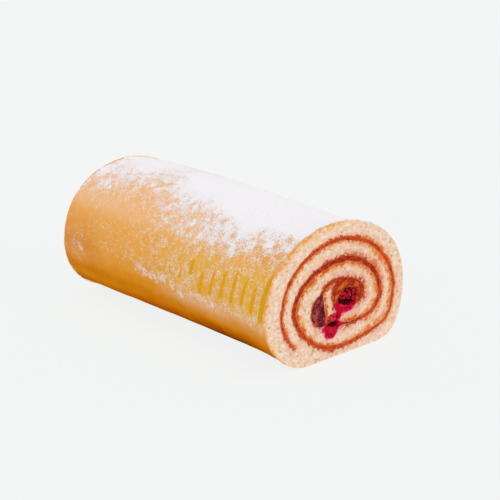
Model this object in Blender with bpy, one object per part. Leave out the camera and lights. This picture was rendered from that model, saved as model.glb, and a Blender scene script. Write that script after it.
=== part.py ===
"""Swiss roll: a sheet of sponge spread with jam, rolled up round raspberries and cut square at both ends.

The roll lies along Y on its flat underside. Its cut ends face -Y and +Y, and the spiral of jam is drawn
in the XZ plane, seen from the -Y end with +X to the right. Sizes below are in millimetres.
"""

import math
import random

import bmesh
import bpy
from mathutils import Matrix, Vector, noise

MM = 0.001

# The whole roll
LENGTH = 168.0
GAP = 0.3                     # clearance between pieces that touch
JAM_RECESS = 0.7              # the jam sits this far back from the cut faces
SLOT_OVERRUN = 5.0            # the slot's cutters run past the ends
OUTLINE_STEPS = 5             # straight steps between two points of the roll's outline
SPIRAL_STEPS = 4              # the same for the jam's outlines

# Outline of the cut end (x, z), clockwise from the left end of the flat underside. Points below zero
# are flattened onto the underside.
OUTLINE = [
    (-23.3, 0), (-40, 9), (-48.6, 22), (-49.6, 37), (-43.6, 53), (-29.3, 65.7), (-10.3, 71.4),
    (5.5, 71.5), (24.1, 65.8), (39.3, 54.3), (47.4, 39), (48.5, 23.2), (44.4, 8.8), (35.7, 1),
    (19.5, -0.5), (-1, -0.5),
]

# How the outline changes along the roll: distance from the -Y end, width factor, sideways shift, height
# factor. Both cut ends flare over a waist, and the roll stands a little higher towards the far end.
WAIST = [(0, 1.0, 0.0, 0.995), (9, 0.967, -0.3, 0.98), (32, 0.944, 0.8, 0.984), (84, 0.955, 1.5, 1.008),
         (138, 0.979, 1.0, 1.012), (160, 0.971, 0.5, 1.008), (168, 0.948, -0.6, 1.006)]
STATION_PITCH = 8.4           # spacing of the sections between the ends
CRUST_UNEVENNESS = 0.45       # how far the crust swells and sinks
CRUST_SWELL_SIZE = 17.0       # distance from one swell to the next
SWELL_CENTRE_Z = 33.0         # the crust swells away from this height in the middle of the roll

# Centre line of the jam (x, z, thickness) from its outer end, up the left, over the top and inwards
JAM_LINE = [
    (-29.7, 11.6, 1.0), (-36.2, 20, 1.3), (-39.1, 31.5, 1.6), (-34.2, 46.7, 1.7), (-20.5, 57.9, 1.8),
    (-3, 62.3, 2.0), (14, 59.7, 1.9), (28.1, 52.2, 2.0), (39, 38.9, 2.0), (41.9, 25.5, 1.9),
    (37.4, 11.9, 1.5), (24, 7.2, 1.6), (4, 4.7, 1.9), (-11.5, 7.9, 2.2), (-25.5, 19.2, 2.3),
    (-30.8, 32, 2.8), (-22.5, 44.6, 2.6), (-5.3, 50.9, 2.8), (12, 49.6, 3.0), (26.8, 39.8, 2.7),
    (31.4, 26.5, 2.8), (25, 18.1, 2.4), (12, 15.9, 1.3), (-2, 17.6, 1.3), (-12, 20.8, 2.0),
    (-14.5, 30, 2.0), (-7.8, 39.6, 1.9), (3.5, 40.5, 2.2), (14.5, 36.4, 2.4), (18.6, 31, 2.4),
    (15.5, 28.3, 1.6),
]

# A thick dollop of jam beside the rolled-in end of the sheet: its outline (x, z)
DOLLOP = [(-12.5, 18.6), (-17.4, 22), (-18.6, 28.5), (-15, 34.6), (-11, 35), (-9.4, 29), (-8.2, 23),
          (-9, 19.4)]

# The middle of the roll, filled with jam round the upper berry: its outline (x, z)
POCKET = [(-3.4, 37.4), (2.5, 40.6), (11, 39), (17.6, 34.9), (19.6, 30.4), (17.2, 26.4), (8, 23.2),
          (0.6, 23.6), (-2.8, 28)]

# Berries cut through at each end: name, centre (x, z), half width, half height, hollow's centre
# (x, z), hollow's half width and half height
BERRIES = [
    ("upper", (7.4, 29.9), 8.3, 6.4, (6.6, 28.3), 5.6, 1.9),
    ("lower", (-3.2, 18.2), 5.2, 6.9, (-3.4, 18.6), 3.5, 1.5),
]
BERRY_DEPTH = 7.0             # how deep a berry reaches behind its widest part
BERRY_SETBACK = 0.5           # a berry's cut lies this far behind the sponge
HOLLOW_DEPTH = 4.0
DRUPELET_RADIUS = 1.9
DRUPELET_BULGE = 0.9          # how far a drupelet stands out of the flesh
DRUPELET_SPACING = 2.7
DRUPELET_RINGS = ((1.0, 0.0), (0.5, 0.5), (0.0, 0.0))  # share of the rim's size, share of a step turned
SEED = 7

# Marks pressed into the crust of the -X side near the -Y end
MARK_COUNT = 10
MARK_PITCH = 8.2
MARK_START = 3.3              # distance of the first mark from the -Y end
MARK_WIDTH = 1.5
MARK_DEPTH = 0.9
MARK_LENGTHS = (17, 15, 17, 19, 19, 18, 16, 12, 9, 7)
MARK_MIDDLE_X = -49.4         # where the side lies at the height of the marks
MARK_MIDDLE_Z = 38.5
MARK_LEAN = math.radians(21)  # the side leans inwards at this height

SPONGE = ("baked_sponge", "#E6C08C", 0.9)
JAM = ("fruit_jam", "#9A2F14", 0.3)
RASPBERRY = ("raspberry_flesh", "#B00A30", 0.35)


def clear_scene():
    for thing in list(bpy.data.objects):
        bpy.data.objects.remove(thing, do_unlink=True)


def new_collection(name):
    collection = bpy.data.collections.new(name)
    bpy.context.scene.collection.children.link(collection)
    return collection


def linear_colour(code):
    """An sRGB hex colour as the linear values that a shader takes."""
    shares = [int(code[place:place + 2], 16) / 255 for place in (1, 3, 5)]
    linear = [share / 12.92 if share <= 0.04045 else ((share + 0.055) / 1.055) ** 2.4 for share in shares]
    return (*linear, 1.0)


def make_material(name, code, roughness):
    material = bpy.data.materials.new(name)
    material.use_nodes = True
    shader = material.node_tree.nodes["Principled BSDF"]
    shader.inputs["Base Color"].default_value = linear_colour(code)
    shader.inputs["Roughness"].default_value = roughness
    shader.inputs["Metallic"].default_value = 0.0
    material.diffuse_color = linear_colour(code)
    return material


def add_object(name, mesh, collection, material=None):
    thing = bpy.data.objects.new(name, mesh)
    collection.objects.link(thing)
    if material:
        mesh.materials.clear()
        mesh.materials.append(material)
    return thing


def make_cutter(thing):
    thing.hide_render = True
    thing.display_type = "WIRE"
    return thing


def boolean(thing, operation, collection):
    modifier = thing.modifiers.new(operation.lower(), "BOOLEAN")
    modifier.operation = operation
    modifier.operand_type = "COLLECTION"
    modifier.collection = collection
    modifier.solver = "EXACT"


def blend_points(before, start, end, after, t):
    """The point at share t of the way from start to end, on a smooth curve through all four."""
    return tuple(
        0.5 * (2 * b + (c - a) * t + (2 * a - 5 * b + 4 * c - d) * t ** 2 + (3 * b - a - 3 * c + d) * t ** 3)
        for a, b, c, d in zip(before, start, end, after))


def smooth_line(points, steps, closed):
    """A smooth line through the points, which may hold any number of values each."""
    count = len(points)
    if closed:
        spans = [[points[(span + offset) % count] for offset in (-1, 0, 1, 2)] for span in range(count)]
    else:
        first = tuple(2 * a - b for a, b in zip(points[0], points[1]))
        last = tuple(2 * a - b for a, b in zip(points[-1], points[-2]))
        line = [first, *points, last]
        spans = [line[span:span + 4] for span in range(count - 1)]
    result = [blend_points(*span, step / steps) for span in spans for step in range(steps)]
    if not closed:
        result.append(tuple(points[-1]))
    return result


def waist_at(distance):
    """The width factor, sideways shift and height factor of the roll at a distance from its -Y end."""
    line = smooth_line(WAIST, 8, closed=False)
    for near, far in zip(line, line[1:]):
        if distance <= far[0]:
            share = (distance - near[0]) / (far[0] - near[0])
            return [a + (b - a) * share for a, b in zip(near[1:], far[1:])]
    return list(line[-1][1:])


def offset_closed(points, amount):
    """Move a closed clockwise outline outwards."""
    count = len(points)
    moved = []
    for place in range(count):
        ahead = Vector(points[(place + 1) % count])
        along = (ahead - Vector(points[place - 1])).normalized()
        outwards = Vector((-along.y, along.x))
        moved.append(tuple(Vector(points[place]) + outwards * amount))
    return moved


def band_outline(line, grow):
    """The closed outline of a band of changing thickness, with rounded ends."""
    left = []
    right = []
    last = len(line) - 1
    for place, (x, z, thickness) in enumerate(line):
        ahead = Vector(line[min(place + 1, last)][:2])
        behind = Vector(line[max(place - 1, 0)][:2])
        along = (ahead - behind).normalized()
        side = Vector((-along.y, along.x)) * (thickness / 2 + grow)
        centre = Vector((x, z))
        if place == 0:
            left.append(centre - along * side.length)
        left.append(centre + side)
        right.append(centre - side)
        if place == last:
            left.append(centre + along * side.length)
    return [tuple(point) for point in left + right[::-1]]


def slab(name, outline, half_length, collection):
    """A closed solid with this (x, z) outline, reaching half_length either way along Y."""
    curve = bpy.data.curves.new(name, "CURVE")
    curve.dimensions = "2D"
    curve.fill_mode = "BOTH"
    curve.extrude = half_length * MM
    spline = curve.splines.new("POLY")
    spline.points.add(len(outline) - 1)
    for point, (x, z) in zip(spline.points, outline):
        point.co = (x * MM, z * MM, 0.0, 1.0)
    spline.use_cyclic_u = True
    drawn = bpy.data.objects.new(name + "_curve", curve)
    collection.objects.link(drawn)
    drawn.rotation_euler = (math.radians(90), 0.0, 0.0)
    bpy.context.view_layer.update()
    mesh = bpy.data.meshes.new_from_object(drawn.evaluated_get(bpy.context.evaluated_depsgraph_get()))
    mesh.transform(drawn.matrix_world)
    bpy.data.objects.remove(drawn, do_unlink=True)
    build = bmesh.new()
    build.from_mesh(mesh)
    bmesh.ops.remove_doubles(build, verts=build.verts, dist=1e-6)
    bmesh.ops.recalc_face_normals(build, faces=build.faces)
    build.to_mesh(mesh)
    build.free()
    return add_object(name, mesh, collection)


def ball(name, centre, radii, collection, segments=16, rings=10, turn=0.0):
    """An ellipsoid at centre with its poles along the roll, leaning about the Y axis by turn."""
    mesh = bpy.data.meshes.new(name)
    build = bmesh.new()
    place = Matrix.Translation(Vector(centre) * MM) @ Matrix.Rotation(turn, 4, "Y")
    place = place @ Matrix.Diagonal((*(radius * MM for radius in radii), 1.0))
    place = place @ Matrix.Rotation(math.radians(90), 4, "X") @ Matrix.Rotation(math.pi / segments, 4, "Z")
    bmesh.ops.create_uvsphere(build, u_segments=segments, v_segments=rings, radius=1.0, matrix=place)
    build.to_mesh(mesh)
    build.free()
    return add_object(name, mesh, collection)


def crust_point(x, z, distance):
    """A point of the outside of the roll, with the waist, the flared ends and the uneven crust."""
    width, shift, height = waist_at(distance)
    point = Vector((x * width + shift, distance, max(z, 0.0) * height))
    if z > 0.0:
        swell = noise.noise(point / CRUST_SWELL_SIZE) * CRUST_UNEVENNESS
        fade = min(1.0, distance / STATION_PITCH, (LENGTH - distance) / STATION_PITCH)
        point += (point - Vector((0.0, distance, SWELL_CENTRE_Z))).normalized() * swell * fade
    return Vector((point.x, distance - LENGTH / 2, max(point.z, 0.0))) * MM


def make_roll_body(collection, material):
    """The outside of the roll: the cut end's outline carried along the roll, capped at both ends."""
    outline = smooth_line(OUTLINE, OUTLINE_STEPS, closed=True)
    stations = round(LENGTH / STATION_PITCH)
    build = bmesh.new()
    rings = []
    for station in range(stations + 1):
        distance = LENGTH * station / stations
        rings.append([build.verts.new(crust_point(x, z, distance)) for x, z in outline])
    count = len(outline)
    for near, far in zip(rings, rings[1:]):
        for place in range(count):
            after = (place + 1) % count
            build.faces.new((near[place], far[place], far[after], near[after]))
    build.faces.new(rings[0])
    build.faces.new(rings[-1][::-1])
    bmesh.ops.recalc_face_normals(build, faces=build.faces)
    mesh = bpy.data.meshes.new("sponge")
    build.to_mesh(mesh)
    build.free()
    return add_object("sponge", mesh, collection, material)


def add_jam_shapes(collection, grow, half_length, prefix):
    """The jam's band, the dollop and the filled middle, each grown by the same amount."""
    line = smooth_line(JAM_LINE, SPIRAL_STEPS, closed=False)
    dollop = smooth_line(DOLLOP, SPIRAL_STEPS, closed=True)
    pocket = smooth_line(POCKET, SPIRAL_STEPS, closed=True)
    return [
        slab(prefix + "band", band_outline(line, grow), half_length, collection),
        slab(prefix + "dollop", offset_closed(dollop, grow), half_length, collection),
        slab(prefix + "pocket", offset_closed(pocket, grow), half_length, collection),
    ]


def add_crust_marks(collection):
    """Thin lens shapes that bite a row of short upright marks into the -X side."""
    lean = Matrix.Rotation(MARK_LEAN, 3, "Y")
    for place in range(MARK_COUNT):
        distance = MARK_START + MARK_PITCH * place
        half = MARK_LENGTHS[place] / 2
        width, shift, _ = waist_at(distance)
        surface = MARK_MIDDLE_X * width + shift
        outwards = lean @ Vector((-1.0, 0.0, 0.0))
        centre = Vector((surface, distance - LENGTH / 2, MARK_MIDDLE_Z)) + outwards * MARK_DEPTH
        radii = (MARK_DEPTH * 2, MARK_WIDTH / 2, half)
        make_cutter(ball("crust_mark", centre, radii, collection, 10, 8, MARK_LEAN))


def drupelet_seats(half_width, half_height):
    """Places of the drupelets on the cut, as sideways and upwards offsets from the berry's middle."""
    reach = Vector((half_width, half_height)) - Vector((DRUPELET_RADIUS, DRUPELET_RADIUS))
    seats = []
    for share, turn in DRUPELET_RINGS:
        across = reach.x * share
        upwards = reach.y * share
        count = max(1, round(math.pi * (across + upwards) / DRUPELET_SPACING))
        for place in range(count):
            angle = 2 * math.pi * (place + turn) / count
            seats.append((across * math.cos(angle), upwards * math.sin(angle)))
    return seats


def cut_front(thing, distance, end):
    """Cut a solid off flat at a distance along Y and close the cut."""
    build = bmesh.new()
    build.from_mesh(thing.data)
    everything = [*build.verts, *build.edges, *build.faces]
    cut = bmesh.ops.bisect_plane(build, geom=everything, plane_co=(0.0, distance * MM, 0.0),
                                 plane_no=(0.0, end, 0.0), clear_outer=True)
    edges = [piece for piece in cut["geom_cut"] if isinstance(piece, bmesh.types.BMEdge)]
    bmesh.ops.holes_fill(build, edges=edges)
    bmesh.ops.recalc_face_normals(build, faces=build.faces)
    build.to_mesh(thing.data)
    build.free()


def make_berry(name, berry, end, seed, collections, material):
    """A berry cut through at the sponge's face: drupelets round a hollow, on flesh that reaches inwards."""
    _, (x, z), half_width, half_height, hollow, hollow_width, hollow_height = berry
    kept, lumps, hollows, recesses = collections
    draw = random.Random(seed)
    face = end * (LENGTH / 2 - BERRY_SETBACK)
    middle = face - end * DRUPELET_RADIUS
    reach = (half_width, BERRY_DEPTH, half_height)
    flesh = [size - DRUPELET_BULGE for size in reach]
    body = ball(name, (x, middle, z), flesh, kept, 16, 8)
    cut_front(body, face - end * DRUPELET_BULGE, end)
    body.data.materials.append(material)
    for across, upwards in drupelet_seats(half_width, half_height):
        radius = DRUPELET_RADIUS * draw.uniform(0.88, 1.0)
        centre = (x + across, middle, z + upwards)
        make_cutter(ball(name + "_drupelet", centre, (radius, radius, radius), lumps, 8, 6))
    scooped = (hollow_width, HOLLOW_DEPTH, hollow_height)
    make_cutter(ball(name + "_hollow", (hollow[0], face, hollow[1]), scooped, hollows, 14, 8))
    boolean(body, "UNION", lumps)
    boolean(body, "DIFFERENCE", hollows)
    room = [size + GAP for size in reach]
    make_cutter(ball(name + "_recess", (x, middle, z), room, recesses, 24, 12))


def shade(thing):
    thing.data.shade_smooth()
    thing.data.set_sharp_from_angle(angle=math.radians(40))


def main():
    clear_scene()
    kept = new_collection("swiss_roll")
    slots = new_collection("swiss_roll_cutters")
    jam_shapes = new_collection("jam_shapes")
    recesses = new_collection("berry_recesses")
    sponge_material = make_material(*SPONGE)
    jam_material = make_material(*JAM)
    raspberry_material = make_material(*RASPBERRY)

    sponge = make_roll_body(kept, sponge_material)
    for shape in add_jam_shapes(slots, GAP, LENGTH / 2 + SLOT_OVERRUN, "slot_"):
        make_cutter(shape)
    add_crust_marks(slots)

    jam, *joined = add_jam_shapes(jam_shapes, 0.0, LENGTH / 2 - JAM_RECESS, "jam_")
    jam_shapes.objects.unlink(jam)
    kept.objects.link(jam)
    jam.name = "jam"
    jam.data.materials.append(jam_material)
    for shape in joined:
        make_cutter(shape)

    seed = SEED
    for end, side in ((-1, "front"), (1, "back")):
        for berry in BERRIES:
            seed += 1
            name = f"raspberry_{side}_{berry[0]}"
            lumps = new_collection(name + "_drupelets")
            hollows = new_collection(name + "_hollows")
            make_berry(name, berry, end, seed, (kept, lumps, hollows, recesses), raspberry_material)

    boolean(jam, "UNION", jam_shapes)
    boolean(jam, "DIFFERENCE", recesses)
    boolean(sponge, "DIFFERENCE", slots)
    boolean(sponge, "DIFFERENCE", recesses)
    for thing in kept.objects:
        shade(thing)


main()
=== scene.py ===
"""Swiss roll: baked crust, crumb, jam, cut raspberries and icing sugar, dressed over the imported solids.

The roll lies along Y: its near cut end faces -Y and its far one +Y. Sizes are in millimetres until a mesh
is made. "Distance" is measured along the roll from its near end. The limits that smooth_step gets with x, z
or a distance are places on the roll: across it, up it and along it.
"""

import math

import bmesh
import bpy
import numpy as np
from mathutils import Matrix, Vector, noise
from mathutils.geometry import delaunay_2d_cdt
from mathutils.kdtree import KDTree


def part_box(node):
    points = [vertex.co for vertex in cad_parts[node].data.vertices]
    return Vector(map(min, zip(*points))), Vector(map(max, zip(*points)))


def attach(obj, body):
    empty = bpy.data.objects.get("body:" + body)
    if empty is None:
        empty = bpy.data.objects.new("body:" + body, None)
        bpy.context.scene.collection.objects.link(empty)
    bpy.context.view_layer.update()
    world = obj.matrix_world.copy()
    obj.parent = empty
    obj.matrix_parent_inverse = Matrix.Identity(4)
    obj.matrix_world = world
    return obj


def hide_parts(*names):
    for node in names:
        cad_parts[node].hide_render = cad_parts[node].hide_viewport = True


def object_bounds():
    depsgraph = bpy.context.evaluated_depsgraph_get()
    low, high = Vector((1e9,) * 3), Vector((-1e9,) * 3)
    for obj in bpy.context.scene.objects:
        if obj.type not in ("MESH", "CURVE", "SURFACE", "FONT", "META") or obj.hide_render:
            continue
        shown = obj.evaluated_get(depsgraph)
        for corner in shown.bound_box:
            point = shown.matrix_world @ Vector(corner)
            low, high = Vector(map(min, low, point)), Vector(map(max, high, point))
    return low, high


MM = 0.001

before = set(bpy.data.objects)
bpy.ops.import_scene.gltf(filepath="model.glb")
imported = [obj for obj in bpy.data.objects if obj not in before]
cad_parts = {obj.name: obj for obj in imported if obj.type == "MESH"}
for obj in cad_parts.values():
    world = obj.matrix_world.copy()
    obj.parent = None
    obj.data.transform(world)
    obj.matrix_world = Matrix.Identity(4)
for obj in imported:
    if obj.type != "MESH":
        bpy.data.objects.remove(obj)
solid_low, solid_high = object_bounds()

sponge_low, sponge_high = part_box("sponge")
NEAR = sponge_low.y / MM
FAR = sponge_high.y / MM
LENGTH = FAR - NEAR

# Crust
MARK_START = 3.3              # the first mark pressed into the side, and from one mark to the next
MARK_PITCH = 8.2
MARK_WIDTH = 2.7
MARK_DEPTH = 0.95
MARK_LEANING = 0.11           # how far a mark's foot lies further along, for each millimetre of its height
# Lowest and highest point of each mark, and how strongly it is pressed
MARKS = [(29.5, 55, 1.0), (31.5, 46, 0.85), (33, 48, 0.6), (32.5, 49.5, 0.9), (33, 47.5, 0.65),
         (32, 46, 0.55), (31.5, 43, 1.0), (39, 47.5, 0.85), (34.5, 41.5, 0.4), (36, 41, 0.25)]
SECTION_INSET = 0.02          # how far inside their ends the solids are cut
OUTLINE_STEP = 0.25           # steps of an outline before its points are chosen
OUTLINE_PITCH = 0.95          # crust points round the roll on the sides that are seen
UNDERSIDE_PITCH = 2.4
MARKED_PITCH = 0.6            # crust points along the roll where the marks are
PLAIN_PITCH = 1.2
EDGE_STATIONS = (0.0, 0.15, 0.45, 0.9, 1.5, 2.2)  # distances of the sections where the crust turns in
EDGE_ROUNDING = 0.7           # how far the crust curls over at a cut end
UPPER_EDGE_ROUNDING = 1.2     # the same along the upper -X edge of the near end
CRUST_SOFTNESS = 1.6          # how far the crust's corners are rounded
CRUST_EASING = 5              # over how many millimetres each way sections and rows of values are eased
LINE_EASING = 4
DIMPLE_DEPTH = 0.07
WRINKLE_DEPTH = 0.16
SUGAR_THICKNESS = 0.22
SUGAR_NOISE_SPREAD = 0.085    # usual distance of the clumps' noise from its middle value of 0.5

# Cut ends
FILL_SCATTER = 0.22           # how far the points of an end are moved off their even spread, in pitches
FILL_MARGIN = 0.55            # how far they stay off its edges, in pitches
NEAR_CRUMB_PITCH = 0.54
FAR_CRUMB_PITCH = 0.74
SLOT_PITCH = 0.6              # points along the edge of the jam
SLOT_LEVELS = (1.2, 4.0, 12.0)  # sections of the slot's walls, measured in from each cut end
SLOT_CLEARANCE = 0.02
WALL_SLOPE = 0.2              # how much deeper each section lies where the slot's edge is deep
JAM_SOFTNESS = 0.45           # how far the corners of the jam's outline are rounded
JAM_WANDER = ((3.4, 0.34), (1.3, 0.16))  # size of the jam's bends, how far both its edges wander
JAM_RAGGEDNESS = ((4.5, 0.42, 0.15), (1.1, 0.34, 0.12))  # size of its bulges, how far they reach out and in
CRUMB_SETBACK = 0.25
PORES = ((110, 0.6, 1.1, 0.75), (620, 0.36, 0.62, 0.45), (2000, 0.22, 0.36, 0.28))  # count, radii, depth
CRUMB_HILLS = ((9.0, 0.22), (2.2, 0.1), (0.9, 0.09))  # size and height of the crumb's unevenness
BLEED_REACH = (1.3, 2.4)      # how far colour spreads out of the outer and of the inner turns of jam
SOAK_REACH = (1.2, 1.6, 2.7)  # how far jam soaks inwards: outer turn, inner turns, their -X side
# Raspberry juice on the cut ends: which berry, offset from its middle, half sizes
JUICE_STAINS = ((0, (-1.2, -3.4), (8.6, 4.8)), (0, (-6.6, -7.4), (2.6, 3.4)), (1, (-0.5, -1.6), (7.8, 3.4)),
                (1, (-1.0, -4.2), (5.2, 4.2)))
BED_OVERLAP = 0.8             # how far a berry's rim reaches over the edge of its bed
CORE_OFFSET = (-4.0, 0.0)     # from the upper berry's middle to the point that the turns wind round
WALL_SOAK = 0.6               # how strongly jam colours the walls of its slot

# Jam
JAM_PITCH = 0.42
JAM_SETBACK = 0.26
JAM_LUMPS = ((2.6, 0.26), (1.1, 0.22), (0.6, 0.1))
DOLLOP = ((-9.8, 8.6), (5.8, 9.6))  # the dark dollop: offset from the lower berry's middle, half sizes
POCKET_MARGIN = 3.6           # how far the jam's filled middle reaches round the upper berry

# Raspberries
BERRY_PITCH = 0.24
BERRY_SETBACK = -0.15         # the drupelets stand a little out of the cut end
DRUPELET_RADIUS = 1.3
DRUPELET_BULGE = 1.35
DRUPELET_TRIES = 900
LEAST_THICKNESS = 0.25        # of a berry's flesh, from its cut to its back
DRUPELET_SPACING = 0.74       # how close two drupelets lie, as a share of their radii together
HOLLOW_DEPTH = 1.7
# Each berry's hollow: offset from its middle, half length and half height, fall for each millimetre of width
HOLLOWS = (((0.1, -2.8), (7.0, 1.7), 0.31), ((1.3, -0.4), (4.0, 1.6), 0.12))

# Icing sugar
GRAIN_COUNT = 24000
GRAIN_SIZES = (0.12, 0.36)
LOW_SUGAR_END = 5.0           # the x up to which sugar also lies low on the roll
FAR_PATCH = 157.0             # distance of a thin patch of sugar low on the roll's side
# By distance along the roll: heights at which sugar covers a tenth, a half and nine tenths of the crust;
# over the top of the roll, height goes on counting at half the way across
SUGAR_EDGES = [(0, 54, 61, 68), (24, 51, 61, 69), (38, 49, 55, 61), (54, 46, 58, 68), (82, 45, 64, 75),
               (105, 57, 68, 78), (120, 62, 74, 89), (140, 58, 66, 79), (168, 58, 65, 82)]
# A low streak of sugar along the side: distance, height, how densely it lies
SUGAR_STREAK = [(0, 27, 0.22), (30, 27, 0.28), (58, 29, 0.42), (74, 30, 0.52), (90, 32, 0.45),
                (104, 34, 0.34), (114, 35, 0.15), (124, 36, 0.0)]
# By distance: how much higher up the side the crust's colour at its foot, low on it, and half way up looks
CRUST_TONES = [(0, 5, 3, 0), (12, 1, 3, 0), (25, -1, 3, 0), (45, -2, 4, 0), (60, 0, 2, 0), (100, 2, -1, 0),
               (125, 4, -1, 0), (140, 4, -2, -8), (152, 5, -2, -13)]


# ---------------------------------------------------------------- small helpers

def linear_colour(code):
    """An sRGB hex colour as the linear values that a shader takes."""
    shares = [int(code[place:place + 2], 16) / 255 for place in (1, 3, 5)]
    linear = [share / 12.92 if share <= 0.04045 else ((share + 0.055) / 1.055) ** 2.4 for share in shares]
    return (*linear, 1.0)


def add_node(tree, kind, inputs=None, **settings):
    """Add a node with its settings; an input gets a value, a hex colour, a node or one output of a node."""
    node = tree.nodes.new(kind)
    for name, value in settings.items():
        setattr(node, name, value)
    for name, value in (inputs or {}).items():
        if isinstance(value, bpy.types.Node):
            tree.links.new(value.outputs[0], node.inputs[name])
        elif isinstance(value, bpy.types.NodeSocket):
            tree.links.new(value, node.inputs[name])
        elif isinstance(value, str):
            node.inputs[name].default_value = linear_colour(value)
        else:
            node.inputs[name].default_value = value
    return node


def smooth_step(value, low, high):
    """0 up to low and 1 from high on, eased between them."""
    share = np.clip((value - low) / (high - low), 0.0, 1.0)
    return share * share * (3.0 - 2.0 * share)


def easing_weights(reach):
    """Weights of a soft average over this many values each way."""
    weights = np.hanning(2 * reach + 3)[1:-1]
    return weights / weights.sum()


def along_line(points, at, column=1):
    """Values of a column along a line of rows that start with a distance, eased between the rows."""
    table = np.array(points, float)
    fine = np.arange(table[0, 0], table[-1, 0] + 0.5, 1.0)
    padded = np.pad(np.interp(fine, table[:, 0], table[:, column]), LINE_EASING, mode="edge")
    return np.interp(at, fine, np.convolve(padded, easing_weights(LINE_EASING), mode="valid"))


def waver(points, size, seed):
    """Smooth noise from about -1 to 1 at (x, y, z) points, whose hills are about this size."""
    shifted = points / size + np.array((7.31, 3.17, 5.53)) * seed
    values = [noise.noise(point) for point in shifted.reshape(-1, 3).tolist()]
    return np.array(values).reshape(points.shape[:-1])


def hilly(points, hills, seed):
    """Hills of several sizes at (x, y, z) points, from pairs of a size and a height."""
    return sum(waver(points, size, seed + place) * height for place, (size, height) in enumerate(hills))


def at_distance(points, distance=0.0):
    """The (x, z) points of a cross-section as (x, y, z) points, at one distance or at one each."""
    return np.column_stack((points[:, 0], np.broadcast_to(distance, len(points)), points[:, 1]))


def from_end(inwards, end):
    """Distances along the roll of points that lie this far in from one cut end."""
    return inwards if end == "near" else LENGTH - inwards


def oval_in(low, high):
    """Middle and half size, both (x, z), of the oval that fills a box seen along the roll."""
    middle = np.array((low.x + high.x, low.z + high.z)) / 2 / MM
    half = np.array((high.x - low.x, high.z - low.z)) / 2 / MM
    return middle, half


def search_tree(points):
    """A tree that finds (x, z) points by where they lie."""
    tree = KDTree(len(points))
    for number, (x, z) in enumerate(points.tolist()):
        tree.insert((x, z, 0.0), number)
    tree.balance()
    return tree


def nearest(points, targets):
    """Distance from each (x, z) point to the nearest target, and that target's number."""
    tree = search_tree(targets)
    found = [tree.find((x, z, 0.0)) for x, z in points.tolist()]
    return np.array([hit[2] for hit in found]), np.array([hit[1] for hit in found])


# ---------------------------------------------------------------- outlines from the solids

def section_loops(node, level):
    """Closed loops of (x, z) points where the plane at this y cuts a solid, the widest first."""
    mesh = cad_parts[node].data
    mesh.calc_loop_triangles()
    places = np.empty(len(mesh.vertices) * 3, np.float32)
    mesh.vertices.foreach_get("co", places)
    places = places.reshape(-1, 3).astype(float) / MM
    corners = np.empty(len(mesh.loop_triangles) * 3, np.int32)
    mesh.loop_triangles.foreach_get("vertices", corners)
    joined = {}
    for triangle in corners.reshape(-1, 3):
        cut = []
        for first, second in ((0, 1), (1, 2), (2, 0)):
            low, high = sorted((tuple(places[triangle[first]]), tuple(places[triangle[second]])))
            if (low[1] > level) != (high[1] > level):
                share = (level - low[1]) / (high[1] - low[1])
                cut.append((round(low[0] + (high[0] - low[0]) * share, 4),
                            round(low[2] + (high[2] - low[2]) * share, 4)))
        if len(cut) == 2 and cut[0] != cut[1]:
            joined.setdefault(cut[0], []).append(cut[1])
            joined.setdefault(cut[1], []).append(cut[0])
    loops = []
    left = set(joined)
    while left:
        point = min(left)
        loop = []
        while point in left:
            left.discard(point)
            loop.append(point)
            point = next((other for other in joined[point] if other in left), loop[0])
        loops.append(np.array(loop))
    return sorted(loops, key=lambda loop: abs(loop_area(loop)), reverse=True)


def loop_area(loop):
    """Area inside a loop, above 0 where it runs anticlockwise."""
    ahead = np.roll(loop, -1, axis=0)
    return (loop[:, 0] * ahead[:, 1] - ahead[:, 0] * loop[:, 1]).sum() / 2


def even_loop(loop, pitch, softness):
    """The loop run clockwise in even steps, with its corners rounded by about this much."""
    if loop_area(loop) > 0:
        loop = loop[::-1]
    closed = np.vstack((loop, loop[:1]))
    travelled = np.concatenate(([0.0], np.cumsum(np.linalg.norm(np.diff(closed, axis=0), axis=1))))
    count = max(12, round(travelled[-1] / pitch))
    numbers = np.arange(count)
    at = numbers * travelled[-1] / count
    even = np.column_stack([np.interp(at, travelled, closed[:, axis]) for axis in (0, 1)])
    away = np.minimum(numbers, count - numbers) * (travelled[-1] / count)
    bell = np.exp(-0.5 * (away / softness) ** 2)
    spectrum = np.fft.fft(bell / bell.sum())[:, None]
    return np.real(np.fft.ifft(np.fft.fft(even, axis=0) * spectrum, axis=0))


def is_inside(points, loops):
    """Which points lie inside an odd number of the loops."""
    starts = np.vstack(loops)
    ends = np.vstack([np.roll(loop, -1, axis=0) for loop in loops])
    rise = ends[:, 1] - starts[:, 1]
    rise = np.where(rise == 0.0, 1e-12, rise)
    inside = np.zeros(len(points), bool)
    for begin in range(0, len(points), 2000):
        block = points[begin:begin + 2000]
        x, z = block[:, :1], block[:, 1:]
        spans = (starts[:, 1] > z) != (ends[:, 1] > z)
        crossing = starts[:, 0] + (z - starts[:, 1]) * (ends[:, 0] - starts[:, 0]) / rise
        inside[begin:begin + 2000] = (spans & (x < crossing)).sum(axis=1) % 2 == 1
    return inside


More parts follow.
